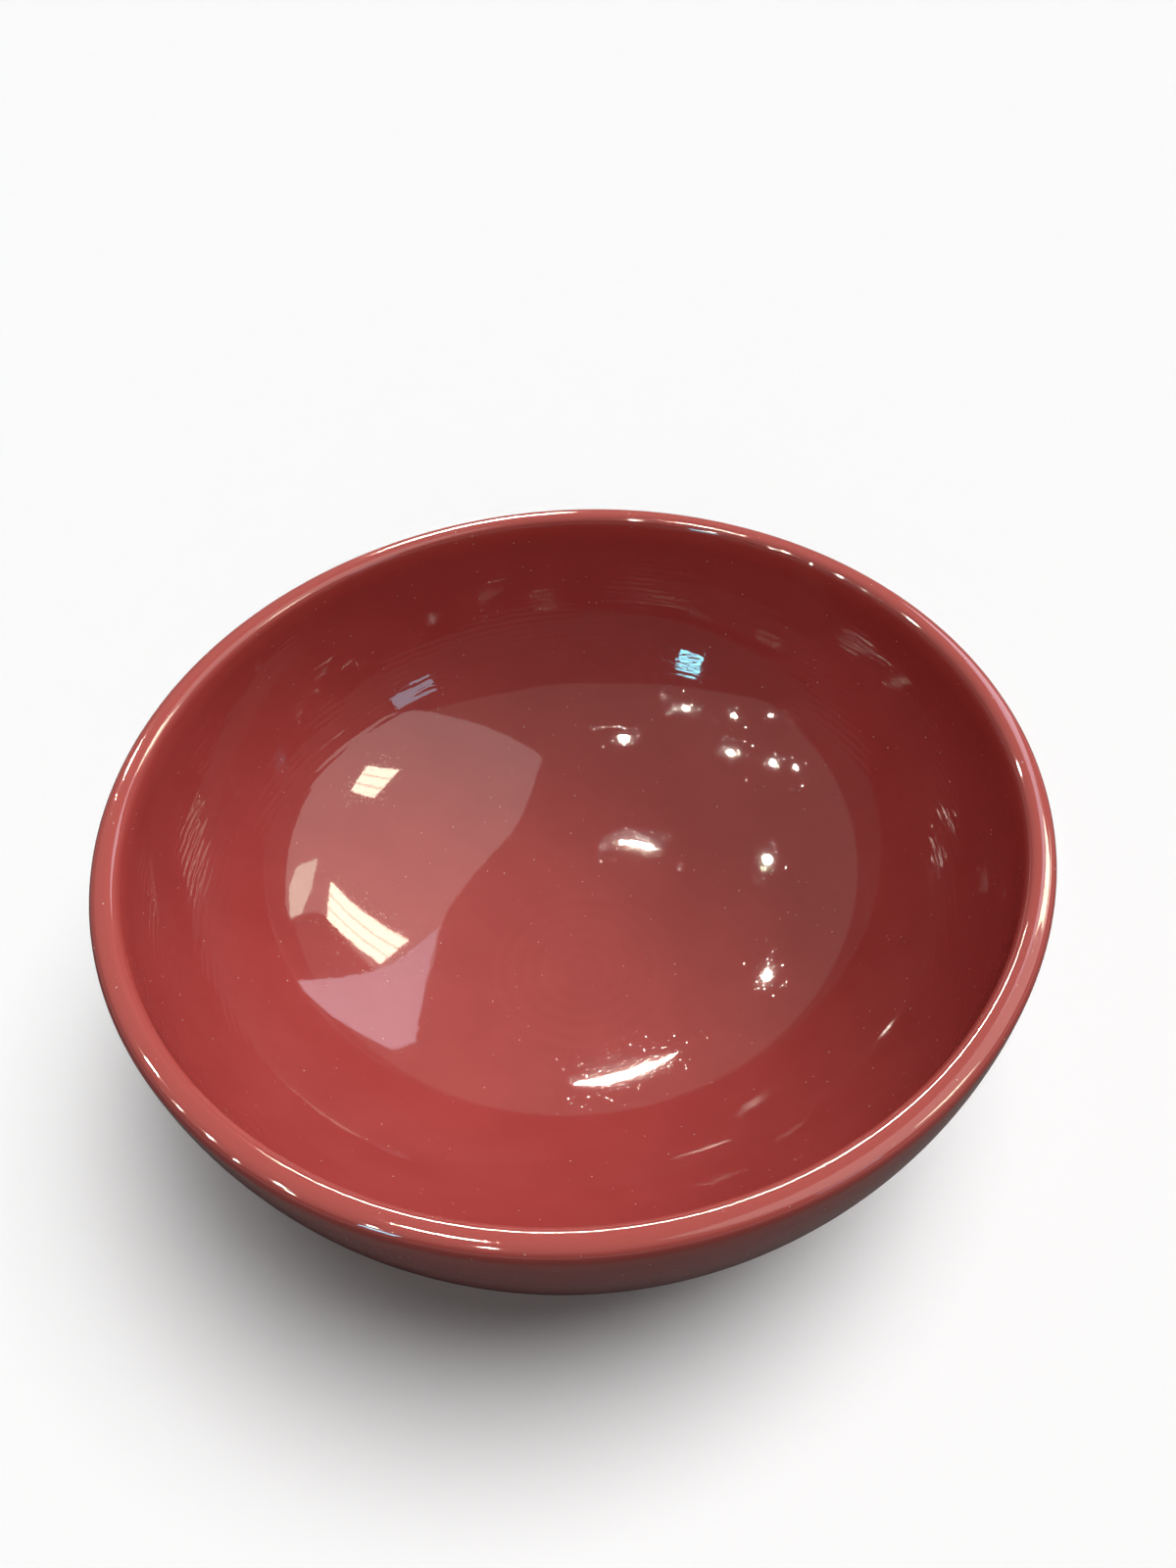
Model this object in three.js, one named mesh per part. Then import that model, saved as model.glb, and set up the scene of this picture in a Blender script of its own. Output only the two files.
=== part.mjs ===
// A thrown stoneware bowl on a luted foot ring, with a red gloss glaze inside and out.
// Millimetres, +Z up. The foot stands on z = 0 and the bowl turns about the Z axis.
import * as THREE from 'three';

// Sizes of the finished bowl, over the glaze
const bowlDiameter = 150;
const insideDepth = 54.4;
const lipThickness = 4.5;

// Sizes of the clay
const floorThickness = 5.6;
const recessDepth = 5.5;
const footDiameter = 72;
const footWall = 5.5;
const footTaper = 0.8;
const padWidth = 2.8;
const padBevel = 0.7;

// Sizes of what was put on the clay
const glazeThickness = 0.5;
const slipThickness = 0.5;
const wipedHeight = 1.8;
const glazeEdge = 0.7;
const cornerPool = 1.6;

// Fullness of the two wall curves: 2 is an ellipse, and more is boxier
const insideFullness = { across: 2.2, down: 2.05 };
const outsideFullness = { across: 3.0, down: 1.9 };

// How finely the curves are stepped
const turnSteps = 60;
const insideSteps = 12;
const outsideSteps = 10;
const lipSteps = 6;
const poolSteps = 3;

// Heights and radii of the clay that follow from these sizes
const baseZ = recessDepth;
const floorZ = baseZ + floorThickness;
const bowlHeight = floorZ + glazeThickness + insideDepth;
const lipRadius = lipThickness / 2 - glazeThickness;
const lipCentre = { r: (bowlDiameter - lipThickness) / 2, z: bowlHeight - lipThickness / 2 };
const mouthRadius = lipCentre.r - lipRadius;
const rimRadius = lipCentre.r + lipRadius;
const footRadius = footDiameter / 2;
const ringInner = footRadius - footWall;
const spigotRadius = ringInner - slipThickness;
const padOuter = footRadius - footTaper - padBevel;
const padInner = padOuter - padWidth;

const point = (r, z) => new THREE.Vector2(r, z);

// A wall curve from the lip's centre height down, as a superellipse about the axis
function wallPoint(radius, bottomZ, fullness, angle) {
  const r = radius * Math.cos(angle) ** (2 / fullness.across);
  const drop = (lipCentre.z - bottomZ) * Math.sin(angle) ** (2 / fullness.down);
  return point(r, lipCentre.z - drop);
}

// The angle at which a wall curve has come in to a given radius
function wallAngle(radius, fullness, atRadius) {
  return Math.acos((atRadius / radius) ** (fullness.across / 2));
}

// The inside wall from the lip down to the middle of the floor
function insideCurve() {
  const points = [];
  for (let i = 1; i < insideSteps; i++) {
    const angle = (Math.PI / 2) * (i / insideSteps);
    points.push(wallPoint(mouthRadius, floorZ, insideFullness, angle));
  }
  points.push(point(0, floorZ));
  return points;
}

// The outside wall from the lip down to the foot ring
function outsideCurve() {
  const lastAngle = wallAngle(rimRadius, outsideFullness, footRadius);
  const points = [];
  for (let i = 1; i <= outsideSteps; i++) {
    points.push(wallPoint(rimRadius, baseZ, outsideFullness, lastAngle * (i / outsideSteps)));
  }
  return points;
}

// The round of the lip at a radius from its centre, from the mouth over the top to the outside
function lipCurve(radius) {
  const points = [];
  for (let i = 0; i <= lipSteps; i++) {
    const angle = Math.PI * (1 - i / lipSteps);
    const r = lipCentre.r + radius * Math.cos(angle);
    points.push(point(r, lipCentre.z + radius * Math.sin(angle)));
  }
  return points;
}

// Lines in the clay that two or more pieces share
const inside = insideCurve();
const lip = lipCurve(lipRadius);
const outside = outsideCurve();
const footCorner = outside.at(-1);
const shoulderZ = footCorner.y;
const ringTopZ = shoulderZ - slipThickness;
const shoulder = point(spigotRadius, shoulderZ);
const spigotEdge = point(spigotRadius, baseZ);
const baseMiddle = point(0, baseZ);
const ringTopOuter = point(footRadius, ringTopZ);
const ringTopInner = point(ringInner, ringTopZ);
const ringAtBase = point(ringInner, baseZ);
const padEdgeOuter = point(padOuter, 0);
const padEdgeInner = point(padInner, 0);
const bevelOuter = point(padOuter + padBevel, padBevel);
const bevelInner = point(padInner - padBevel, padBevel);

// The point at a height on the straight line between two points
function atHeight(from, to, z) {
  return from.clone().lerp(to, (z - from.y) / (to.y - from.y));
}

const outerWipeLine = atHeight(bevelOuter, ringTopOuter, wipedHeight);
const outerGlazeFull = atHeight(bevelOuter, ringTopOuter, wipedHeight + glazeEdge);
const innerWipeLine = atHeight(bevelInner, ringAtBase, wipedHeight);
const innerGlazeFull = atHeight(bevelInner, ringAtBase, wipedHeight + glazeEdge);

// The unit vector to the left of the way from one point to the next
function leftOf(from, to) {
  const way = to.clone().sub(from).normalize();
  return point(-way.y, way.x);
}

// A point moved off the clay by the glaze's thickness, square to the lines that meet there
function offClay(before, here, after) {
  const first = leftOf(before, here);
  const second = leftOf(here, after);
  const out = first.clone().add(second).normalize();
  return here.clone().add(out.multiplyScalar(glazeThickness / out.dot(first)));
}

// Where the glaze pools in a corner, its surface runs in an arc from one line to the other
function pooled(before, corner, after) {
  const back = before.clone().sub(corner).normalize();
  const ahead = after.clone().sub(corner).normalize();
  const halfAngle = Math.acos(back.dot(ahead)) / 2;
  const bisector = back.clone().add(ahead).normalize();
  const centre = corner.clone().add(bisector.multiplyScalar(cornerPool / Math.sin(halfAngle)));
  const reach = cornerPool / Math.tan(halfAngle);
  const start = corner.clone().add(back.multiplyScalar(reach)).sub(centre);
  const end = corner.clone().add(ahead.multiplyScalar(reach)).sub(centre);
  const sweep = Math.atan2(start.cross(end), start.dot(end));
  const points = [];
  for (let i = 0; i <= poolSteps; i++) {
    const spoke = start.clone().rotateAround(point(0, 0), sweep * (i / poolSteps));
    points.push(centre.clone().add(spoke));
  }
  return points;
}

// The free surface of the inside coat, from the middle of the floor over the lip
const lipFree = lipCurve(lipThickness / 2);
const floorMiddle = point(0, floorZ + glazeThickness);
const insideFree = [floorMiddle];
for (let i = inside.length - 2; i >= 0; i--) {
  insideFree.push(offClay(inside[i + 1], inside[i], inside[i - 1] ?? lip[0]));
}
insideFree.push(...lipFree);

// The free surface of the outside coat, pooled between the wall and the foot ring
const outsideFree = [lipFree.at(-1)];
for (let i = 0; i < outside.length - 1; i++) {
  outsideFree.push(offClay(outside[i - 1] ?? lip.at(-1), outside[i], outside[i + 1]));
}
const outerCorner = offClay(outside.at(-2), footCorner, ringTopOuter);
const outerRing = offClay(ringTopOuter, outerGlazeFull, outerWipeLine);
outsideFree.push(...pooled(outsideFree.at(-1), outerCorner, outerRing), outerRing);

// The free surface of the coat in the recess, from the foot ring to the axis
const innerRing = offClay(innerWipeLine, innerGlazeFull, ringAtBase);
const innerCorner = offClay(innerGlazeFull, ringAtBase, spigotEdge);
const recessMiddle = point(0, baseZ - glazeThickness);
const undersideFree = [
  innerRing,
  ...pooled(innerRing, innerCorner, recessMiddle),
  recessMiddle,
];

// A solid of revolution from a closed line, or from a line that starts and ends on the axis
function turned(name, points, colour, roughness) {
  const line = [...points];
  if (line[0].x > 0) line.push(line[0].clone());
  const geometry = new THREE.LatheGeometry(line, turnSteps);
  geometry.rotateX(Math.PI / 2);
  const material = new THREE.MeshStandardMaterial({ color: colour, roughness, metalness: 0 });
  const mesh = new THREE.Mesh(geometry, material);
  mesh.name = name;
  return mesh;
}

const stoneware = { colour: '#c8b495', roughness: 0.85 };
const redGlaze = { colour: '#a23c38', roughness: 0.12 };

// Wall, floor and lip in one piece of clay, with the turned spigot under the floor
function thrownBowl() {
  const line = [
    baseMiddle,
    spigotEdge,
    shoulder,
    ...outside.toReversed(),
    ...lip.toReversed(),
    ...inside,
  ];
  return turned('thrown_bowl', line, stoneware.colour, stoneware.roughness);
}

// The ring fits round the spigot and stands on its pad, which is bevelled on both edges
function footRing() {
  const line = [
    padEdgeInner,
    padEdgeOuter,
    bevelOuter,
    outerWipeLine,
    outerGlazeFull,
    ringTopOuter,
    ringTopInner,
    ringAtBase,
    innerGlazeFull,
    innerWipeLine,
    bevelInner,
  ];
  return turned('foot_ring', line, stoneware.colour, stoneware.roughness);
}

// The slip fills the space between the ring and the bowl's shoulder and spigot
function joiningSlip() {
  const line = [
    spigotEdge,
    ringAtBase,
    ringTopInner,
    ringTopOuter,
    footCorner,
    shoulder,
  ];
  return turned('joining_slip', line, stoneware.colour, stoneware.roughness);
}

// The inside coat covers the floor and the wall, and goes over the lip to its outer edge
function insideGlaze() {
  const line = [...inside.toReversed(), ...lip, ...insideFree.toReversed()];
  return turned('inside_glaze', line, redGlaze.colour, redGlaze.roughness);
}

// The outside coat meets the inside one at the lip, and is wiped off above the pad
function outsideGlaze() {
  const line = [
    lip.at(-1),
    ...outside,
    ringTopOuter,
    outerGlazeFull,
    outerWipeLine,
    ...outsideFree.toReversed(),
  ];
  return turned('outside_glaze', line, redGlaze.colour, redGlaze.roughness);
}

// The coat in the recess goes from the axis out and down the ring, and is wiped off too
function undersideGlaze() {
  const line = [
    ...undersideFree.toReversed(),
    innerWipeLine,
    innerGlazeFull,
    ringAtBase,
    spigotEdge,
    baseMiddle,
  ];
  return turned('underside_glaze', line, redGlaze.colour, redGlaze.roughness);
}

const bowl = new THREE.Group();
bowl.add(thrownBowl(), footRing(), joiningSlip(), insideGlaze(), outsideGlaze(), undersideGlaze());

export default bowl;
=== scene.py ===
import math

import bpy
import numpy as np
from mathutils import Matrix, Vector


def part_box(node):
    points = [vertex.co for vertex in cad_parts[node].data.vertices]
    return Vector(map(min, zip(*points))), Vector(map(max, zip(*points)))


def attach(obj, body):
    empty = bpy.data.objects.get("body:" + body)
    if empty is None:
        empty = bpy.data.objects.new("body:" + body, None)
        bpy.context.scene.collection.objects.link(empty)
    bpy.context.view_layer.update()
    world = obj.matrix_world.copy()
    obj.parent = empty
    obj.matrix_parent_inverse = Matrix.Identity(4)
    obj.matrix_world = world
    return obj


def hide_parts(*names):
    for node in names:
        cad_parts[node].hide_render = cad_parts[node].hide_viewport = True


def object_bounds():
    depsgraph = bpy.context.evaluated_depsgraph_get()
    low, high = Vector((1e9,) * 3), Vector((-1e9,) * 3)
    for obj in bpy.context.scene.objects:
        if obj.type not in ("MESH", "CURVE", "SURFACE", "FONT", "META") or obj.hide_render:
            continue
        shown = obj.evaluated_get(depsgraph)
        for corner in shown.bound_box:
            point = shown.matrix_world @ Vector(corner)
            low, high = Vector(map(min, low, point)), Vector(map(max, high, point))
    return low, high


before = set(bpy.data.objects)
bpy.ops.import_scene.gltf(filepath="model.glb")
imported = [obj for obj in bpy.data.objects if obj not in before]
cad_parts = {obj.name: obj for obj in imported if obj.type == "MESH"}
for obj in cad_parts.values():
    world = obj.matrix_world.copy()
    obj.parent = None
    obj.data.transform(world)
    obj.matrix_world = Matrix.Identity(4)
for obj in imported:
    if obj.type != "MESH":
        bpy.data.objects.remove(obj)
cad_low, cad_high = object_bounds()


# The thrown bowl: wall, floor and lip in one piece of buff stoneware, thrown on the wheel.
# Under the floor it is turned down to a shoulder and a low spigot, which carry the foot ring.
# The coats of glaze cover all of it, so only its outline and its clay matter.
MM = 0.001
clay_low, clay_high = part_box("thrown_bowl")
coat_low, coat_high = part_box("inside_glaze")
ring_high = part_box("foot_ring")[1]
slip_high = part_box("joining_slip")[1]

lip_thickness = 4.5 * MM
foot_wall = 5.5 * MM

# How full a wall curve is across and down: 2 is an ellipse, and more is boxier
inside_fullness = (2.2, 2.05)
outside_fullness = (3.0, 1.9)

# How far apart the points of an outline lie, and in how many steps its curves are traced first
clay_spacing = 1.2 * MM
clay_lip_spacing = 0.5 * MM
wall_trace = 4000
arc_trace = 400

glaze_thickness = coat_high.z - clay_high.z
slip_thickness = slip_high.z - ring_high.z
lip_middle = (coat_high.x - lip_thickness / 2, coat_high.z - lip_thickness / 2)
lip_radius = lip_thickness / 2 - glaze_thickness
mouth_radius = lip_middle[0] - lip_radius
rim_radius = lip_middle[0] + lip_radius
base_height = clay_low.z
floor_height = coat_low.z
foot_radius = ring_high.x
ring_inner = foot_radius - foot_wall
spigot_radius = ring_inner - slip_thickness
shoulder_height = slip_high.z
ring_top = ring_high.z


def evenly(points, spacing):
    """Points on the same line, about one spacing apart"""
    line = np.array(points, float)
    along = np.append(0, np.cumsum(np.hypot(*np.diff(line, axis=0).T)))
    stops = np.linspace(0, along[-1], max(1, round(along[-1] / spacing)) + 1)
    return np.column_stack([np.interp(stops, along, line[:, 0]), np.interp(stops, along, line[:, 1])])


def wall_curve(radius, bottom, fullness, last_radius, spacing):
    """A wall from the lip's middle height down and in to a radius: a superellipse about the axis"""
    across, down = fullness
    last_angle = math.acos((last_radius / radius) ** (across / 2))
    angles = np.linspace(0, last_angle, wall_trace)
    r = radius * np.cos(angles) ** (2 / across)
    z = lip_middle[1] - (lip_middle[1] - bottom) * np.sin(angles) ** (2 / down)
    return evenly(np.column_stack([r, z]), spacing)


def arc(middle, radius, start, end, spacing):
    """A round stretch about a middle point, between two angles in degrees"""
    angles = np.radians(np.linspace(start, end, arc_trace))
    r = middle[0] + radius * np.cos(angles)
    return evenly(np.column_stack([r, middle[1] + radius * np.sin(angles)]), spacing)


def add_node(tree, kind, inputs=None, **settings):
    """Adds a node with its settings, and sets or links its inputs, by their names or numbers"""
    node = tree.nodes.new(kind)
    for name, value in settings.items():
        setattr(node, name, value)
    for key, value in (inputs or {}).items():
        if isinstance(value, bpy.types.NodeSocket):
            tree.links.new(value, node.inputs[key])
        else:
            node.inputs[key].default_value = value
    return node


weld_distance = 0.001 * MM
crease_angle = math.radians(35)


def wheel_tree():
    """Turns an outline about the axis, with the spiral ripples and slow swells that a thrown wall has"""
    tree = bpy.data.node_groups.new("turned_on_the_wheel", "GeometryNodeTree")
    sockets = {
        "Outline": "NodeSocketGeometry",
        "Turn steps": "NodeSocketInt",
        "Ripple spacing": "NodeSocketFloat",
        "Ripple height": "NodeSocketFloat",
        "Swell size": "NodeSocketFloat",
        "Swell height": "NodeSocketFloat",
        "Finish": "NodeSocketMaterial",
    }
    for name, kind in sockets.items():
        tree.interface.new_socket(name, in_out="INPUT", socket_type=kind)
    tree.interface.new_socket("Turned", in_out="OUTPUT", socket_type="NodeSocketGeometry")
    given = add_node(tree, "NodeGroupInput").outputs
    outline, steps = given["Outline"], given["Turn steps"]
    ripple_height, swell_height = given["Ripple height"], given["Swell height"]

    # A grid with a row for each point of the outline, and a column for each step of the turn
    size = add_node(tree, "GeometryNodeAttributeDomainSize", {"Geometry": outline})
    columns = add_node(tree, "ShaderNodeMath", {0: steps, 1: 1}, operation="ADD").outputs[0]
    counts = {"Vertices X": size.outputs["Point Count"], "Vertices Y": columns}
    grid = add_node(tree, "GeometryNodeMeshGrid", counts).outputs["Mesh"]
    index = add_node(tree, "GeometryNodeInputIndex").outputs[0]
    rows = add_node(tree, "ShaderNodeMath", {0: index, 1: columns}, operation="DIVIDE").outputs[0]
    row = add_node(tree, "ShaderNodeMath", {0: rows}, operation="FLOOR").outputs[0]
    column = add_node(tree, "ShaderNodeMath", {0: index, 1: columns}, operation="MODULO").outputs[0]
    step = add_node(tree, "ShaderNodeMath", {0: math.tau, 1: steps}, operation="DIVIDE").outputs[0]
    angle = add_node(tree, "ShaderNodeMath", {0: column, 1: step}, operation="MULTIPLY").outputs[0]

    # What the outline holds for each row, with its place and its way outward swung by the angle
    kinds = {"position": "FLOAT_VECTOR", "outward": "FLOAT_VECTOR", "along": "FLOAT", "loose": "FLOAT"}
    held = {}
    for name, kind in kinds.items():
        named = add_node(tree, "GeometryNodeInputNamedAttribute", {"Name": name}, data_type=kind)
        sample = {"Geometry": outline, "Value": named.outputs["Attribute"], "Index": row}
        held[name] = add_node(tree, "GeometryNodeSampleIndex", sample, data_type=kind).outputs[0]
        if kind == "FLOAT_VECTOR":
            swing = {"Vector": held[name], "Angle": angle}
            held[name] = add_node(tree, "ShaderNodeVectorRotate", swing, rotation_type="Z_AXIS").outputs[0]
    place, outward, along, loose = held.values()

    # Slow swells all over, and ripples in patches, which climb by their spacing in one turn
    coarse = {0: 1.0, 1: given["Swell size"]}
    fineness = add_node(tree, "ShaderNodeMath", coarse, operation="DIVIDE").outputs[0]
    slow = {"Vector": place, "Scale": fineness, "Detail": 1.0}
    noise = add_node(tree, "ShaderNodeTexNoise", slow).outputs[0]
    patchy = {"Value": noise, "From Min": 0.42, "From Max": 0.6}
    patches = add_node(tree, "ShaderNodeMapRange", patchy).outputs[0]
    spaced = {0: along, 1: given["Ripple spacing"]}
    turns = add_node(tree, "ShaderNodeMath", spaced, operation="DIVIDE").outputs[0]
    climb = add_node(tree, "ShaderNodeMath", {0: turns, 1: math.tau}, operation="MULTIPLY").outputs[0]
    phase = add_node(tree, "ShaderNodeMath", {0: climb, 1: angle}, operation="ADD").outputs[0]
    sine = add_node(tree, "ShaderNodeMath", {0: phase}, operation="SINE").outputs[0]
    wave = add_node(tree, "ShaderNodeMath", {0: sine, 1: ripple_height}, operation="MULTIPLY").outputs[0]
    ripple = add_node(tree, "ShaderNodeMath", {0: wave, 1: patches}, operation="MULTIPLY").outputs[0]
    centred = add_node(tree, "ShaderNodeMath", {0: noise, 1: 0.5}, operation="SUBTRACT").outputs[0]
    swell = add_node(tree, "ShaderNodeMath", {0: centred, 1: swell_height}, operation="MULTIPLY").outputs[0]
    waves = add_node(tree, "ShaderNodeMath", {0: ripple, 1: swell}, operation="ADD").outputs[0]
    lift = add_node(tree, "ShaderNodeMath", {0: waves, 1: loose}, operation="MULTIPLY").outputs[0]
    shift = add_node(tree, "ShaderNodeVectorMath", {0: outward, "Scale": lift}, operation="SCALE")
    moved = add_node(tree, "ShaderNodeVectorMath", {0: place, 1: shift.outputs[0]}, operation="ADD")
    turned = add_node(tree, "GeometryNodeSetPosition", {"Geometry": grid, "Position": moved.outputs[0]})

    # The seam and the poles are closed, and the faces turned outward
    seam = {"Geometry": turned.outputs[0], "Distance": weld_distance}
    closed = add_node(tree, "GeometryNodeMergeByDistance", seam)
    facing_out = add_node(tree, "GeometryNodeFlipFaces", {"Mesh": closed.outputs[0]})
    smooth = add_node(tree, "GeometryNodeSetShadeSmooth", {"Geometry": facing_out.outputs[0]})
    real = add_node(tree, "GeometryNodeRealizeInstances", {"Geometry": smooth.outputs[0]})
    finish = {"Geometry": real.outputs[0], "Material": given["Finish"]}
    finished = add_node(tree, "GeometryNodeSetMaterial", finish)
    add_node(tree, "NodeGroupOutput", {0: finished.outputs[0]})
    return tree


wheel = wheel_tree()


def turned_piece(name, stretches, material, node, slot, turn_steps=120, **wheel_inputs):
    """A piece of the bowl from the stretches of its outline, each with how loose its ripples are"""
    points = np.vstack([stretch for stretch, _ in stretches])
    loose = np.concatenate([np.broadcast_to(loose, len(stretch)) for stretch, loose in stretches])
    if points[0, 0] > 0:
        points, loose = np.vstack([points, points[:1]]), np.append(loose, loose[0])
    lengths = np.hypot(*np.diff(points, axis=0).T)
    ahead = np.gradient(points, axis=0)
    ahead /= np.hypot(*ahead.T)[:, None]
    flat = np.zeros(len(points))
    mesh = bpy.data.meshes.new(name)
    mesh.from_pydata(np.column_stack([points[:, 0], flat, points[:, 1]]).tolist(), [], [])
    outward = np.column_stack([ahead[:, 1], flat, -ahead[:, 0]])
    mesh.attributes.new("outward", "FLOAT_VECTOR", "POINT").data.foreach_set("vector", outward.ravel())
    along = np.append(0, np.cumsum(lengths))
    mesh.attributes.new("along", "FLOAT", "POINT").data.foreach_set("value", along)
    mesh.attributes.new("loose", "FLOAT", "POINT").data.foreach_set("value", loose)
    piece = bpy.data.objects.new(name, mesh)
    bpy.context.scene.collection.objects.link(piece)
    modifier = piece.modifiers.new("wheel", "NODES")
    modifier.node_group = wheel
    calm_wheel = {"Ripple spacing": 3 * MM, "Swell size": 20 * MM}
    values = {"Turn steps": turn_steps, "Finish": material, **calm_wheel, **wheel_inputs}
    for socket in wheel.interface.items_tree:
        if socket.in_out == "INPUT" and socket.name in values:
            modifier[socket.identifier] = values[socket.name]
    evaluated = piece.evaluated_get(bpy.context.evaluated_depsgraph_get())
    piece.data = bpy.data.meshes.new_from_object(evaluated)
    piece.modifiers.clear()
    piece.data.set_sharp_from_angle(angle=crease_angle)
    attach(piece, "root")
    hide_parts(node)


def colour(hex_value):
    """An sRGB hex value as the linear colour that a shader takes"""
    parts = [int(hex_value[i : i + 2], 16) / 255 for i in (1, 3, 5)]
    linear = [c / 12.92 if c <= 0.04045 else ((c + 0.055) / 1.055) ** 2.4 for c in parts]
    return (*linear, 1.0)


# A wave texture whose scale is 1 repeats at this length
wave_length = math.tau / 20
clay_cloud_size = 6 * MM
tool_line_depth = 0.02 * MM
grog_colour = colour("#6b4a36")


def bare_clay(name, pale, dark, grit, line_spacing):
    """Unglazed stoneware, matt and dry, with grog in it and the lines that a turning tool leaves"""
    material = bpy.data.materials.new(name)
    material.use_nodes = True
    tree = material.node_tree
    shader = tree.nodes["Principled BSDF"]
    shader.inputs["IOR"].default_value = 1.5
    place = add_node(tree, "ShaderNodeTexCoord").outputs["Object"]
    clouds = {"Vector": place, "Scale": 1 / clay_cloud_size, "Detail": 6.0}
    body = add_node(tree, "ShaderNodeTexNoise", clouds)

    # On a Mix node the two colours are the inputs 6 and 7, and their mix is the output 2
    tone = add_node(tree, "ShaderNodeMix", {0: body.outputs[0], 6: pale, 7: dark}, data_type="RGBA")
    grog = add_node(tree, "ShaderNodeTexVoronoi", {"Vector": place, "Scale": 1 / grit})
    speck = {"Value": grog.outputs["Distance"], "From Min": 0.16, "From Max": 0.1}
    speckled = add_node(tree, "ShaderNodeMapRange", speck).outputs[0]
    spots = {0: speckled, 6: tone.outputs[2], 7: grog_colour}
    tint = add_node(tree, "ShaderNodeMix", spots, data_type="RGBA").outputs[2]
    tree.links.new(tint, shader.inputs["Base Color"])
    lines = {"Vector": place, "Scale": wave_length / line_spacing, "Distortion": 0.4, "Detail": 2.0}
    rings = add_node(tree, "ShaderNodeTexWave", lines, wave_type="RINGS", rings_direction="Z")
    relief = add_node(tree, "ShaderNodeMath", {0: rings.outputs[1], 1: body.outputs[0]}, operation="ADD")
    bumps = {"Height": relief.outputs[0], "Distance": tool_line_depth, "Strength": 0.6}
    bump = add_node(tree, "ShaderNodeBump", bumps)
    tree.links.new(bump.outputs[0], shader.inputs["Normal"])
    dryness = {"Value": body.outputs[0], "To Min": 0.75, "To Max": 0.95}
    dry = add_node(tree, "ShaderNodeMapRange", dryness)
    tree.links.new(dry.outputs[0], shader.inputs["Roughness"])
    return material


pale_buff, dark_buff = colour("#cdb999"), colour("#b89f7c")
stoneware = bare_clay("bare_stoneware", pale_buff, dark_buff, grit=1.6 * MM, line_spacing=0.7 * MM)

outer_wall = wall_curve(rim_radius, base_height, outside_fullness, foot_radius, clay_spacing)
inner_wall = wall_curve(mouth_radius, floor_height, inside_fullness, 0, clay_spacing)
clay_lip = arc(lip_middle, lip_radius, 0, 180, clay_lip_spacing)
spigot = np.array([(0, base_height), (spigot_radius, base_height), (spigot_radius, shoulder_height)])
body_outline = [(spigot, 0), (outer_wall[::-1], 0), (clay_lip[1:], 0), (inner_wall[1:], 0)]
turned_piece("bowl_body", body_outline, stoneware, "thrown_bowl", "stoneware")


# The foot ring: a separate ring of the same stoneware, turned, and luted round the spigot.
# It stands on a flat pad whose edges are eased, and the pad is left bare so that it won't
# stick to the kiln shelf.
foot_taper = 0.8 * MM
pad_width = 2.8 * MM
pad_bevel = 0.7 * MM
wiped_height = 1.8 * MM
glaze_edge = 0.7 * MM
edge_spacing = 0.12 * MM
pad_outer = foot_radius - foot_taper - pad_bevel
pad_inner = pad_outer - pad_width
eased_outer = arc((pad_outer, pad_bevel), pad_bevel, -90, 0, edge_spacing)
eased_inner = arc((pad_inner, pad_bevel), pad_bevel, 180, 270, edge_spacing)
ring_top_line = np.array([(foot_radius, ring_top), (ring_inner, ring_top)])
ring_outline = [(eased_outer, 0), (ring_top_line, 0), (eased_inner, 0)]
turned_piece("turned_foot", ring_outline, stoneware, "foot_ring", "stoneware", turn_steps=240)


# The joining slip: thin clay slurry between the foot ring and the bowl's shoulder and spigot.
# It is scored on wet and dries into one with both, and the glaze hides its edge.
pale_slip, dark_slip = colour("#c9b798"), colour("#bda983")
slip = bare_clay("fired_slip", pale_slip, dark_slip, grit=0.9 * MM, line_spacing=1.1 * MM)
foot_corner = outer_wall[-1]
slip_line = [
    (spigot_radius, base_height),
    (ring_inner, base_height),
    (ring_inner, ring_top),
    (foot_radius, ring_top),
    foot_corner,
    (spigot_radius, shoulder_height),
]
turned_piece("luting_slip", [(np.array(slip_line), 0)], slip, "joining_slip", "slip")


# The inside coat: red gloss glaze poured into the bowl, over the floor, the wall and the lip.
# It is glass on clay, so it is smooth to a mirror, follows the throwing ripples and
# thins a little over the lip, where its red is also painted paler as the light that the lip catches.
# Small grains under it catch the light as glints.
fine_spacing = 0.36 * MM
lip_spacing = 0.2 * MM
deep_red = colour("#a3413e")
mid_red = colour("#a94643")
# A paler red for thin glaze on the floor's rings and over the lip, where it is also painted light on the
# lip
thin_and_painted_light_red = colour("#ba514b")
speck_colour = colour("#dcb5aa")
glaze_cloud_size = 16 * MM
grain_spacing = 1.6 * MM
peel_size = 1.6 * MM
turning_line_spacing = 3.1 * MM
turned_floor_radius = 19 * MM

# Between these depths below the rim the glaze thins and is painted paler as light on the lip, and rib lines
# come and go at these heights
thin_and_painted_light_depths = (6 * MM, 1.5 * MM)
rib_line_spacing = 1.1 * MM
rib_belt = (34 * MM, 38 * MM, 58 * MM, 62 * MM)

# The peel's height, and how many times as high the grains and the ribs stand
relief_depth = 0.004 * MM
grain_height, rib_height = 3.0, 4.0

# Real facets that sparkle are finer, and these are drawn as coarse as they need to be to show
facet_size = 0.1 * MM
facet_rarity = 24.0
facet_tilt = 0.15


def off_clay(line, thickness):
    """The line moved off the clay to the left of its way, square to it"""
    ahead = np.gradient(line, axis=0)
    ahead /= np.hypot(*ahead.T)[:, None]
    return line + thickness * np.column_stack([-ahead[:, 1], ahead[:, 0]])


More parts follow.
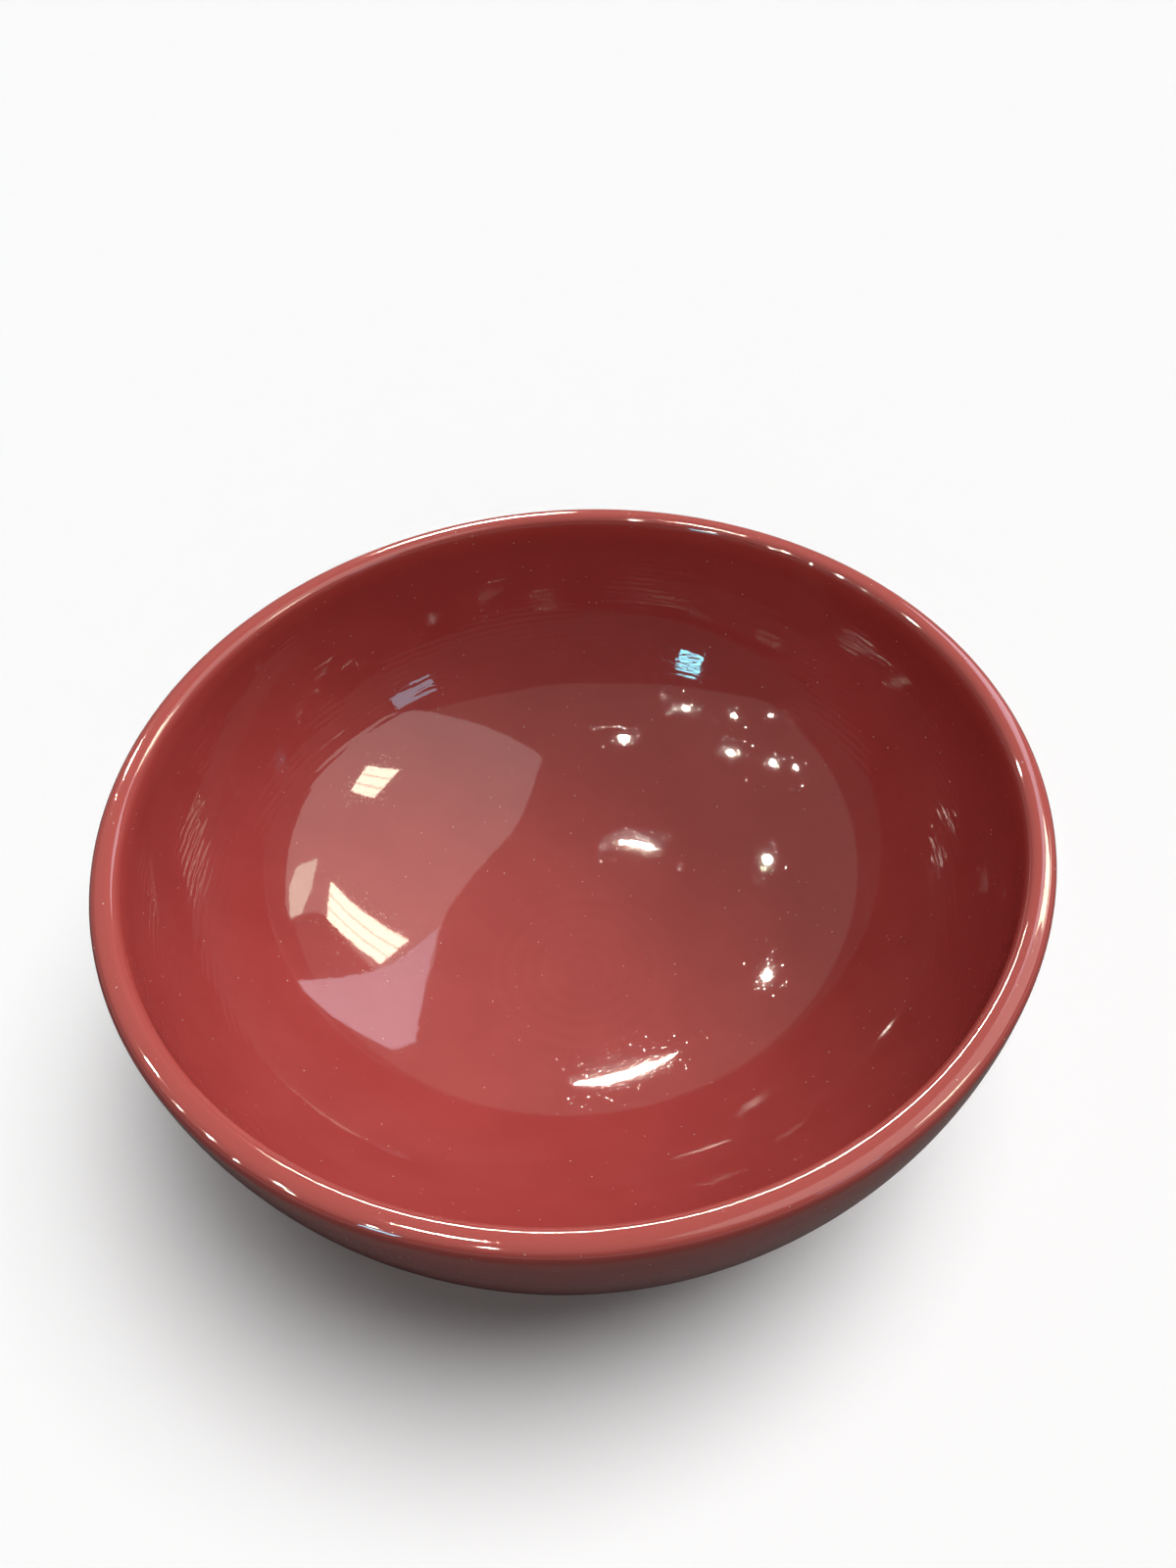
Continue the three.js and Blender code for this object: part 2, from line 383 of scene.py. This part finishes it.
def gloss_glaze(name):
    """A red gloss stoneware glaze, fired to smooth glass: sharp highlights over a soft cloudy red"""
    material = bpy.data.materials.new(name)
    material.use_nodes = True
    tree = material.node_tree
    shader = tree.nodes["Principled BSDF"]
    shader.inputs["IOR"].default_value = 1.5
    place = add_node(tree, "ShaderNodeTexCoord").outputs["Object"]
    clouds = {"Vector": place, "Scale": 1 / glaze_cloud_size, "Detail": 4.0, "Roughness": 0.55}
    cloud = add_node(tree, "ShaderNodeTexNoise", clouds).outputs[0]
    even = {"Value": cloud, "From Min": 0.35, "From Max": 0.65}
    mottle = add_node(tree, "ShaderNodeMapRange", even).outputs[0]
    reds = {0: mottle, 6: deep_red, 7: mid_red}
    red = add_node(tree, "ShaderNodeMix", reds, data_type="RGBA").outputs[2]

    # Paler towards the rim, where the glaze runs thin over the lip and its paler red also paints light on
    # the lip
    height = add_node(tree, "ShaderNodeSeparateXYZ", {0: place}).outputs["Z"]
    low, high = (coat_high.z - depth for depth in thin_and_painted_light_depths)
    lip = {"Value": height, "From Min": low, "From Max": high}
    thin_and_painted_light = add_node(tree, "ShaderNodeMapRange", lip, interpolation_type="SMOOTHSTEP")
    thin_and_painted_light_reds = {0: thin_and_painted_light.outputs[0], 6: red, 7: thin_and_painted_light_red}
    over_lip = add_node(tree, "ShaderNodeMix", thin_and_painted_light_reds, data_type="RGBA").outputs[2]

    # Faint turning rings in the middle of the floor
    flat = add_node(tree, "ShaderNodeVectorMath", {0: place, 1: (1, 1, 0)}, operation="MULTIPLY").outputs[0]
    radius = add_node(tree, "ShaderNodeVectorMath", {0: flat}, operation="LENGTH").outputs["Value"]
    lines = {"Vector": place, "Scale": wave_length / turning_line_spacing, "Distortion": 0.6}
    rings = add_node(tree, "ShaderNodeTexWave", lines, wave_type="RINGS", rings_direction="Z").outputs[1]
    fading = {"Value": radius, "From Min": 0.9 * turned_floor_radius, "From Max": turned_floor_radius}
    faint = add_node(tree, "ShaderNodeMapRange", {**fading, "To Min": 0.1, "To Max": 0}).outputs[0]
    pale = add_node(tree, "ShaderNodeMath", {0: rings, 1: faint}, operation="MULTIPLY").outputs[0]
    ringed = {0: pale, 6: over_lip, 7: thin_and_painted_light_red}
    glaze = add_node(tree, "ShaderNodeMix", ringed, data_type="RGBA").outputs[2]

    # Small pale grains in the glaze
    grains = add_node(tree, "ShaderNodeTexVoronoi", {"Vector": place, "Scale": 1 / grain_spacing})
    chance = add_node(tree, "ShaderNodeSeparateColor", {0: grains.outputs["Color"]}).outputs[0]
    reach = add_node(tree, "ShaderNodeMapRange", {"Value": chance, "From Min": 0.3, "To Max": 0.09})
    near = {0: reach.outputs[0], 1: grains.outputs["Distance"]}
    speck = add_node(tree, "ShaderNodeMath", near, operation="GREATER_THAN").outputs[0]
    spots = {0: speck, 6: glaze, 7: speck_colour}
    tint = add_node(tree, "ShaderNodeMix", spots, data_type="RGBA").outputs[2]
    tree.links.new(tint, shader.inputs["Base Color"])

    # Relief from the grains, a fine orange peel, and rib lines high on the inside wall
    peel = {"Vector": place, "Scale": 1 / peel_size, "Detail": 2.0}
    grainy = {0: speck, 1: grain_height, 2: add_node(tree, "ShaderNodeTexNoise", peel).outputs[0]}
    grain = add_node(tree, "ShaderNodeMath", grainy, operation="MULTIPLY_ADD").outputs[0]
    bands = {"Vector": place, "Scale": wave_length / rib_line_spacing, "Distortion": 2.0, "Detail": 2.0}
    ribs = add_node(tree, "ShaderNodeTexWave", bands, bands_direction="Z").outputs[1]
    belt_foot, belt_full, belt_waning, belt_top = rib_belt
    rising = {"Value": height, "From Min": belt_foot, "From Max": belt_full, "To Max": rib_height}
    ribbed = add_node(tree, "ShaderNodeMapRange", rising).outputs[0]
    waning = {"Value": height, "From Min": belt_top, "From Max": belt_waning}
    calm = add_node(tree, "ShaderNodeMapRange", waning).outputs[0]
    facing = add_node(tree, "ShaderNodeNewGeometry").outputs["Normal"]
    outward = add_node(tree, "ShaderNodeVectorMath", {0: facing, 1: flat}, operation="DOT_PRODUCT")
    inside = {0: outward.outputs["Value"], 1: 0.0}
    inner = add_node(tree, "ShaderNodeMath", inside, operation="LESS_THAN").outputs[0]
    patches = {"Value": cloud, "From Min": 0.44, "From Max": 0.56}
    patchy = add_node(tree, "ShaderNodeMapRange", patches).outputs[0]
    belt = add_node(tree, "ShaderNodeMath", {0: ribbed, 1: calm}, operation="MULTIPLY").outputs[0]
    inner_belt = add_node(tree, "ShaderNodeMath", {0: belt, 1: inner}, operation="MULTIPLY").outputs[0]
    lift = add_node(tree, "ShaderNodeMath", {0: inner_belt, 1: patchy}, operation="MULTIPLY").outputs[0]
    raised = {0: ribs, 1: lift, 2: grain}
    relief = add_node(tree, "ShaderNodeMath", raised, operation="MULTIPLY_ADD").outputs[0]
    bumps = {"Height": relief, "Distance": relief_depth, "Strength": 1.0}
    bump = add_node(tree, "ShaderNodeBump", bumps).outputs[0]

    # Fine facets, of which a few lean far enough to sparkle beside a bright highlight
    facets = add_node(tree, "ShaderNodeTexVoronoi", {"Vector": place, "Scale": 1 / facet_size}).outputs
    chances = add_node(tree, "ShaderNodeSeparateColor", {0: facets["Color"]}).outputs[0]
    rare = add_node(tree, "ShaderNodeMath", {0: chances, 1: facet_rarity}, operation="POWER").outputs[0]
    tilt = add_node(tree, "ShaderNodeMath", {0: rare, 1: facet_tilt}, operation="MULTIPLY")
    random = add_node(tree, "ShaderNodeTexWhiteNoise", {"Vector": facets["Position"]}).outputs["Color"]
    centred = add_node(tree, "ShaderNodeVectorMath", {0: random, 1: (0.5, 0.5, 0.5)}, operation="SUBTRACT")
    glint = {0: centred.outputs[0], "Scale": tilt.outputs[0]}
    lean = add_node(tree, "ShaderNodeVectorMath", glint, operation="SCALE").outputs[0]
    leaning = add_node(tree, "ShaderNodeVectorMath", {0: bump, 1: lean}, operation="ADD").outputs[0]
    normal = add_node(tree, "ShaderNodeVectorMath", {0: leaning}, operation="NORMALIZE").outputs[0]
    tree.links.new(normal, shader.inputs["Normal"])
    gloss = {"Value": cloud, "To Min": 0.02, "To Max": 0.05}
    smooth = add_node(tree, "ShaderNodeMapRange", gloss)
    tree.links.new(smooth.outputs[0], shader.inputs["Roughness"])
    return material


red_glaze = gloss_glaze("red_gloss_glaze")

# A low ridge that the rib left round the floor, and the heights between which the wall ripples
ridge_radius = 18 * MM
ridge_width = 0.6 * MM
ridge_height = 0.01 * MM
rippled_heights = (35 * MM, 39 * MM, 57 * MM, 62 * MM)

clay_inside = wall_curve(mouth_radius, floor_height, inside_fullness, 0, fine_spacing)
ridge = ridge_height * np.exp(-(((clay_inside[:, :1] - ridge_radius) / ridge_width) ** 2))
inside_face = off_clay(clay_inside[::-1], (glaze_thickness + ridge)[::-1])[::-1]
inside_face[-1, 0] = 0

# The lip's section: how square it is, its steps, and a first turn that keeps its outer edge upright
lip_squareness = 2.5
lip_trace = 2000
first_turn = 0.001


def lip_section(turn):
    """The lip's round section, a little flatter on top than a circle"""
    across = np.sign(np.cos(turn)) * np.abs(np.cos(turn)) ** (2 / lip_squareness)
    rise = np.abs(np.sin(turn)) ** (2 / lip_squareness)
    return np.column_stack([across, rise]) * lip_thickness / 2 + lip_middle


lip_round = evenly(lip_section(np.linspace(0, math.pi, lip_trace)), lip_spacing)
lip_face = np.vstack([lip_round[:1], lip_section(np.array([first_turn])), lip_round[1:]])
inside_looseness = np.interp(inside_face[:, 1], rippled_heights, (0, 1, 1, 0))
inside_outline = [
    (inner_wall[::-1], 0),
    (clay_lip[::-1][1:], 0),
    (lip_face, 0),
    (inside_face[1:], inside_looseness[1:]),
]
inside_ripples = {"Ripple spacing": 2.7 * MM, "Ripple height": 0.01 * MM}
inside_swell = {"Swell size": 12 * MM, "Swell height": 0.06 * MM}
turned_piece(
    "inside_coat",
    inside_outline,
    red_glaze,
    "inside_glaze",
    "red_glaze",
    turn_steps=240,
    **inside_ripples,
    **inside_swell,
)


# The outside coat: the same glaze, put on by dipping, from the lip's outer edge to the foot.
# It pools in the corner over the foot ring and is wiped off in a line above the pad,
# where its edge rounds off.
corner_pool = 1.6 * MM
calm_length = 8 * MM
bead_sweep = 75
bead_spacing = 0.1 * MM
clay_wall = wall_curve(rim_radius, base_height, outside_fullness, foot_radius, fine_spacing)


def crossing(first, last, height):
    """The point at a height on the straight line between two points"""
    first, last = np.array(first), np.array(last)
    return first + (last - first) * (height - first[1]) / (last[1] - first[1])


def cross_of(first, second):
    """The cross product of two directions in the outline's plane"""
    return first[0] * second[1] - first[1] * second[0]


def pool(before, corner, after, radius, spacing):
    """The arc in which glaze fills a corner, from one of its lines to the other"""
    before, corner, after = (np.array(p, float) for p in (before, corner, after))
    back = (before - corner) / np.hypot(*(before - corner))
    on = (after - corner) / np.hypot(*(after - corner))
    half = math.acos(back @ on) / 2
    middle = corner + (back + on) / np.hypot(*(back + on)) * radius / math.sin(half)
    reach = radius / math.tan(half)
    start, end = corner + back * reach - middle, corner + on * reach - middle
    first = math.degrees(math.atan2(start[1], start[0]))
    sweep = math.degrees(math.atan2(cross_of(start, end), start @ end))
    return arc(middle, radius, first, first + sweep, spacing)


ring_foot = (pad_outer + pad_bevel, pad_bevel)
ring_shoulder = (foot_radius, ring_top)
wipe_line = crossing(ring_foot, ring_shoulder, wiped_height)
full_glaze = crossing(ring_foot, ring_shoulder, wiped_height + glaze_edge)
wall_face = off_clay(clay_wall, glaze_thickness)
ring_face = off_clay(np.array([ring_shoulder, full_glaze, wipe_line]), glaze_thickness)[:2]
steep = wall_face[-1] - wall_face[-2]
down_ring = ring_face[1] - ring_face[0]
gap = ring_face[0] - wall_face[-1]
outer_corner = wall_face[-1] + steep * (cross_of(gap, down_ring) / cross_of(steep, down_ring))

# The pool's wall side is a straight line that runs back over this many steps of the wall
straight_steps = 12
back_on_wall = wall_face[-2] - steep * straight_steps
outer_pool = pool(back_on_wall, outer_corner, ring_face[1], corner_pool, lip_spacing)
kept_wall = wall_face[wall_face[:, 1] > outer_pool[0, 1]]
glaze_bead = arc(full_glaze, glaze_thickness, 0, -bead_sweep, bead_spacing)
wall_looseness = np.clip(np.arange(len(kept_wall)) * fine_spacing / calm_length, 0, 1)
outside_outline = [
    (np.vstack([[wipe_line], glaze_bead[::-1]]), 0),
    (outer_pool[::-1], 0),
    (kept_wall[::-1], wall_looseness[::-1]),
    (outer_wall, 0),
    (np.array([ring_shoulder, full_glaze]), 0),
]
outside_ripples = {"Ripple spacing": 3.4 * MM, "Ripple height": 0.004 * MM}
outside_swell = {"Swell size": 25 * MM, "Swell height": 0.04 * MM}
turned_piece(
    "outside_coat",
    outside_outline,
    red_glaze,
    "outside_glaze",
    "red_glaze",
    turn_steps=240,
    **outside_ripples,
    **outside_swell,
)


# The underside coat: the same glaze in the shallow recess within the foot ring.
# It pools in the corner under the base, and is wiped off above the pad like the outside one.
inner_foot = (pad_inner - pad_bevel, pad_bevel)
ring_at_base = (ring_inner, base_height)
inner_wipe = crossing(inner_foot, ring_at_base, wiped_height)
inner_full = crossing(inner_foot, ring_at_base, wiped_height + glaze_edge)
recess_corner = (ring_inner - glaze_thickness, base_height - glaze_thickness)
recess_middle = (0, base_height - glaze_thickness)
inner_bead = arc(inner_full, glaze_thickness, 180, 180 + bead_sweep, bead_spacing)
inner_pool = pool(recess_middle, recess_corner, inner_bead[0], corner_pool, lip_spacing)
recess_face = evenly([recess_middle, inner_pool[0]], clay_spacing)
recess_looseness = 0.6
underside_outline = [
    (recess_face[:-1], recess_looseness),
    (inner_pool, 0),
    (inner_bead, 0),
    (np.array([inner_wipe, inner_full, ring_at_base, (0, base_height)]), 0),
]
underside_ripples = {"Ripple spacing": 4 * MM, "Ripple height": 0.02 * MM}
underside_swell = {"Swell size": 15 * MM, "Swell height": 0.1 * MM}
turned_piece(
    "underside_coat",
    underside_outline,
    red_glaze,
    "underside_glaze",
    "red_glaze",
    turn_steps=240,
    **underside_ripples,
    **underside_swell,
)


# The set: a floor of matt white paper, which is dim to all but the camera, because the glaze of the
# outer wall shows no pale floor. The bowl's key comes from behind on the right, and the floor's suns
# stand high on the right, so that the shadow lies close in front of the foot.
floor_reach = 4.0
floor_drop = 0.02 * MM
floor_mesh = bpy.data.meshes.new("floor")
quarters = [(-1, -1), (1, -1), (1, 1), (-1, 1)]
floor_corners = [(x * floor_reach, y * floor_reach, -floor_drop) for x, y in quarters]
floor_mesh.from_pydata(floor_corners, [], [(0, 1, 2, 3)])
floor = bpy.data.objects.new("floor", floor_mesh)
bpy.context.scene.collection.objects.link(floor)

paper = bpy.data.materials.new("matt_white_paper")
paper.use_nodes = True
tree = paper.node_tree
shader = tree.nodes["Principled BSDF"]
shader.inputs["Roughness"].default_value = 1.0
shader.inputs["Specular IOR Level"].default_value = 0.0
paper_white = colour("#f9f9f9")
paper_dim = colour("#686664")
light_path = add_node(tree, "ShaderNodeLightPath").outputs
seen = {0: light_path["Is Camera Ray"], 6: paper_dim, 7: paper_white}
tint = add_node(tree, "ShaderNodeMix", seen, data_type="RGBA").outputs[2]
tree.links.new(tint, shader.inputs["Base Color"])
floor_mesh.materials.append(paper)

sun_distance = 2.0


def soft_sun(name, strength, angle, azimuth, elevation, only_floor=False):
    """A far soft lamp that lights only the bowl or only the floor, and isn't mirrored in the glaze"""
    light = bpy.data.lights.new(name, "SUN")
    light.energy, light.angle = strength, math.radians(angle)
    lamp = bpy.data.objects.new(name, light)
    bpy.context.scene.collection.objects.link(lamp)
    a, e = math.radians(azimuth), math.radians(elevation)
    out = Vector((math.cos(a) * math.cos(e), math.sin(a) * math.cos(e), math.sin(e)))
    lamp.location = sun_distance * out
    lamp.rotation_euler = out.to_track_quat("Z", "Y").to_euler()
    lamp.visible_camera = lamp.visible_glossy = False
    reach = bpy.data.collections.new(name + "_reach")
    reach.objects.link(floor)
    lamp.light_linking.receiver_collection = reach
    reach.collection_objects[0].light_linking.link_state = "INCLUDE" if only_floor else "EXCLUDE"


soft_sun("key", strength=1.66, angle=22, azimuth=43, elevation=45)
soft_sun("side_key", strength=0.75, angle=28, azimuth=2, elevation=43)
soft_sun("high_rear", strength=0.8, angle=30, azimuth=120, elevation=67)
soft_sun("high_front", strength=0.3, angle=30, azimuth=-60, elevation=70)
soft_sun("front_fill", strength=0.35, angle=60, azimuth=245, elevation=33)
soft_sun("floor_top", strength=1.5, angle=34, azimuth=3, elevation=82, only_floor=True)
soft_sun("floor_side", strength=1.55, angle=34, azimuth=3, elevation=70, only_floor=True)
soft_sun("floor_front", strength=0.3, angle=70, azimuth=-90, elevation=35, only_floor=True)

# Reflectors, strip lamps and small round lamps overhead, seen only in the glaze as its highlights.
# Their plans are in metres from the bowl's axis, at this height over the floor.
overhead = 2.6


def panel(name, corners, strength, tone):
    """A flat luminous panel given by its corners in metres, which is seen only in the glaze"""
    mesh = bpy.data.meshes.new(name)
    mesh.from_pydata(corners, [], [tuple(range(len(corners)))])
    glowing = bpy.data.objects.new(name, mesh)
    bpy.context.scene.collection.objects.link(glowing)
    material = bpy.data.materials.new(name)
    material.use_nodes = True
    tree = material.node_tree
    tree.nodes.clear()
    glow = add_node(tree, "ShaderNodeEmission", {"Color": colour(tone), "Strength": strength})
    add_node(tree, "ShaderNodeOutputMaterial", {0: glow.outputs[0]})
    mesh.materials.append(material)
    glowing.visible_camera = glowing.visible_diffuse = glowing.visible_shadow = False


def soft_outline(points, steps=6):
    """A closed outline that runs in a soft curve through its points"""
    here = np.array(points)
    before, after, beyond = (np.roll(here, turn, axis=0) for turn in (1, -1, -2))
    bend = 2 * before - 5 * here + 4 * after - beyond
    twist = 3 * here - before - 3 * after + beyond
    stops = np.linspace(0, 1, steps, endpoint=False)
    curves = [here + ((after - before) * t + bend * t**2 + twist * t**3) / 2 for t in stops]
    return np.stack(curves, axis=1).reshape(-1, 2).tolist()


wide_points = [(0.35, -1.1), (0.3, -0.65), (0.45, 0.05), (0.7, 0.5), (1.0, 1.1), (1.2, 1.95)]
wide_points += [(1.8, 2.3), (3.1, 1.9), (4.2, 2.4), (5.0, 3.0), (5.5, 2.4), (6.0, 0.6)]
wide_points += [(5.7, -1.6), (3.5, -2.75), (1.5, -2.0)]
cool_outline = [(1.05, 1.25), (1.7, 2.0), (3.0, 3.1), (5.2, 5.1), (3.8, 4.8), (2.75, 4.4)]
cool_outline += [(2.1, 4.2), (1.6, 3.45), (1.35, 2.55), (1.2, 1.95), (1.1, 1.5)]
pale_outline = [(4.8, 1.5), (3.8, 1.0), (3.8, 1.6), (4.2, 2.4), (4.9, 2.9), (5.2, 2.2)]
short_strip = [(-0.35, 0.35), (-0.49, 0.38), (-0.61, 0.47), (-0.59, 0.5), (-0.47, 0.43), (-0.35, 0.38)]
rear_strip = [(0.15, 3.75), (-0.1, 3.6), (-0.3, 3.5), (-0.65, 3.4), (-0.35, 3.7), (-0.1, 3.85)]

# Each panel's plan, how far it is raised, its strength and its tone
overhead_panels = {
    "reflector": (soft_outline(wide_points), 0.04, 2.5, "#fff6ee"),
    "cool_reflector": (cool_outline, 0.02, 4.8, "#f4f2ff"),
    "pale_reflector": (pale_outline, 0.02, 9.9, "#eef6e0"),
    "short_strip": (short_strip, 0, 800, "#fff8e6"),
    "rear_strip": (rear_strip, 0, 500, "#fff8e6"),
}
for name, (plan, raised, strength, tone) in overhead_panels.items():
    panel(name, [(x, y, overhead + raised) for x, y in plan], strength, tone)

first_strip = [(3.35, -1.1), (2.3, -0.95), (2.6, -0.4), (3.45, -0.5)]
second_strip = [(3.1, 1.2), (1.4, 1.5), (1.85, 2.05), (3.1, 1.9)]
tube_stops = [(0, 0.3), (0.36, 0.64), (0.7, 1)]
box_depth = 0.01
box_strength, tube_strength = 15, 26
lamp_tone = "#fff8dc"
for name, plan in {"first": first_strip, "second": second_strip}.items():
    near_start, near_end, far_end, far_start = (Vector((x, y, overhead)) for x, y in plan)
    panel(name + "_lamp_box", [(x, y, overhead + box_depth) for x, y in plan], box_strength, lamp_tone)
    for number, (low, high) in enumerate(tube_stops, 1):
        sides = [near_start.lerp(far_start, low), near_end.lerp(far_end, low)]
        sides += [near_end.lerp(far_end, high), near_start.lerp(far_start, high)]
        panel(f"{name}_tube_{number}", sides, tube_strength, lamp_tone)


upright_distance = 5.0


def upright_panel(name, azimuth, low, high, width, strength, tone):
    """A luminous panel that stands upright at a distance, between two elevations in degrees"""
    a = math.radians(azimuth)
    middle = Vector((math.cos(a), math.sin(a), 0)) * upright_distance
    side = Vector((-math.sin(a), math.cos(a), 0)) * width / 2
    foot, head = (Vector((0, 0, upright_distance * math.tan(math.radians(e)))) for e in (low, high))
    corners = [middle - side + foot, middle + side + foot, middle + side + head, middle - side + head]
    panel(name, corners, strength, tone)


cyan_height = 1.5
cyan_feet = (22.2, 24.6, 27.0, 29.4)
for number, low in enumerate(cyan_feet, 1):
    name = f"cyan_panel_{number}"
    upright_panel(name, -131, low, low + cyan_height, width=0.6, strength=40, tone="#7ddcf0")
upright_panel("rear_panel", azimuth=96, low=1, high=6, width=4.5, strength=2.0, tone="#fffaf4")
upright_panel("blue_panel", azimuth=-45, low=23, high=29, width=1.2, strength=5.2, tone="#ade6ff")

# The small round lamps: where each hangs, and its radius
warm_white = colour("#fff6e4")[:3]
lamp_radiance = 1200
small_lamps = [
    (-0.7, -1.15, 0.05),
    (-1.95, -1.8, 0.05),
    (-2.95, -1.55, 0.045),
    (-2.15, -0.7, 0.05),
    (-4.4, -1.55, 0.045),
    (-3.0, -0.35, 0.05),
    (-3.65, -0.1, 0.04),
    (-1.85, 1.0, 0.06),
    (-1.6, 2.7, 0.06),
]
for number, (x, y, radius) in enumerate(small_lamps, 1):
    disc = bpy.data.lights.new(f"small_lamp_{number}", "AREA")
    disc.shape, disc.size = "DISK", 2 * radius
    disc.energy = lamp_radiance * math.pi * math.pi * radius**2
    disc.color = warm_white
    lamp = bpy.data.objects.new(disc.name, disc)
    bpy.context.scene.collection.objects.link(lamp)
    lamp.location = (x, y, overhead)
    lamp.rotation_euler = Vector((x, y, overhead)).to_track_quat("Z", "Y").to_euler()
    lamp.visible_camera = lamp.visible_diffuse = False

# The studio's surroundings are plain white to the camera. In the glaze they are white low down,
# then a grey band, and pale overhead.
world = bpy.data.worlds.new("studio")
bpy.context.scene.world = world
world.use_nodes = True
tree = world.node_tree
background = tree.nodes["Background"]
path = add_node(tree, "ShaderNodeLightPath").outputs
ray = add_node(tree, "ShaderNodeTexCoord").outputs["Generated"]
direction = add_node(tree, "ShaderNodeSeparateXYZ", {0: ray}).outputs
forward, rise = direction["Y"], direction["Z"]
above = add_node(tree, "ShaderNodeMapRange", {"Value": rise, "From Min": 0.08, "From Max": 0.14})
lower = {0: above.outputs[0], 6: paper_white, 7: colour("#7b7670")}
grey_band = add_node(tree, "ShaderNodeMix", lower, data_type="RGBA").outputs[2]
upper = {"Value": forward, "From Min": -0.35, "From Max": -0.72, "To Min": 0.42, "To Max": 0.66}
band_top = add_node(tree, "ShaderNodeMapRange", upper).outputs[0]
over = add_node(tree, "ShaderNodeMath", {0: rise, 1: band_top}, operation="SUBTRACT").outputs[0]
sharp = add_node(tree, "ShaderNodeMapRange", {"Value": over, "From Min": 0.0, "From Max": 0.012}).outputs[0]
dome = {0: sharp, 6: grey_band, 7: colour("#d4cec2")}
mirrored = add_node(tree, "ShaderNodeMix", dome, data_type="RGBA").outputs[2]
fill = {0: path["Is Glossy Ray"], 6: colour("#282828"), 7: mirrored}
unseen = add_node(tree, "ShaderNodeMix", fill, data_type="RGBA").outputs[2]
pale = {0: path["Is Camera Ray"], 6: unseen, 7: paper_white}
light = add_node(tree, "ShaderNodeMix", pale, data_type="RGBA").outputs[2]
tree.links.new(light, background.inputs["Color"])


# The camera: a short wide lens, close above the front edge and turned a little. It is placed from
# the middle of the rim, which lies at a known point of the frame.
photo_width, photo_height = 1200, 1600
lens_length, sensor_length = 27.0, 36.0
rim_middle = Vector((0, 0, cad_high.z))
rim_middle_pixel = (578.6, 798.3)
eye_distance = 187.5 * MM
eye_elevation = math.radians(47.96)
eye_roll = math.radians(-5.1)
focal_pixels = lens_length / sensor_length * photo_height

eye = rim_middle + eye_distance * Vector((0, -math.cos(eye_elevation), math.sin(eye_elevation)))
to_rim = (rim_middle - eye).normalized()
across = Vector((1, 0, 0))
in_world = Matrix((across, to_rim.cross(across), to_rim))
sideways = (rim_middle_pixel[0] - photo_width / 2) / focal_pixels
downwards = (rim_middle_pixel[1] - photo_height / 2) / focal_pixels
seen_rim = Vector((sideways, downwards, 1)).normalized()
level = (across - seen_rim * seen_rim.x).normalized()
upright = seen_rim.cross(level)
seen_across = math.cos(eye_roll) * level + math.sin(eye_roll) * upright
in_lens = Matrix((seen_across, seen_rim.cross(seen_across), seen_rim))
right, down, ahead = in_lens.transposed() @ in_world
camera = bpy.data.cameras.new("camera")
camera.lens, camera.sensor_width = lens_length, sensor_length
camera_object = bpy.data.objects.new("camera", camera)
bpy.context.scene.collection.objects.link(camera_object)
turn = Matrix((right, -down, -ahead)).transposed().to_4x4()
camera_object.matrix_world = Matrix.Translation(eye) @ turn
camera.clip_start = 1 * MM
bpy.context.scene.camera = camera_object
bpy.context.scene.view_settings.view_transform = "Standard"
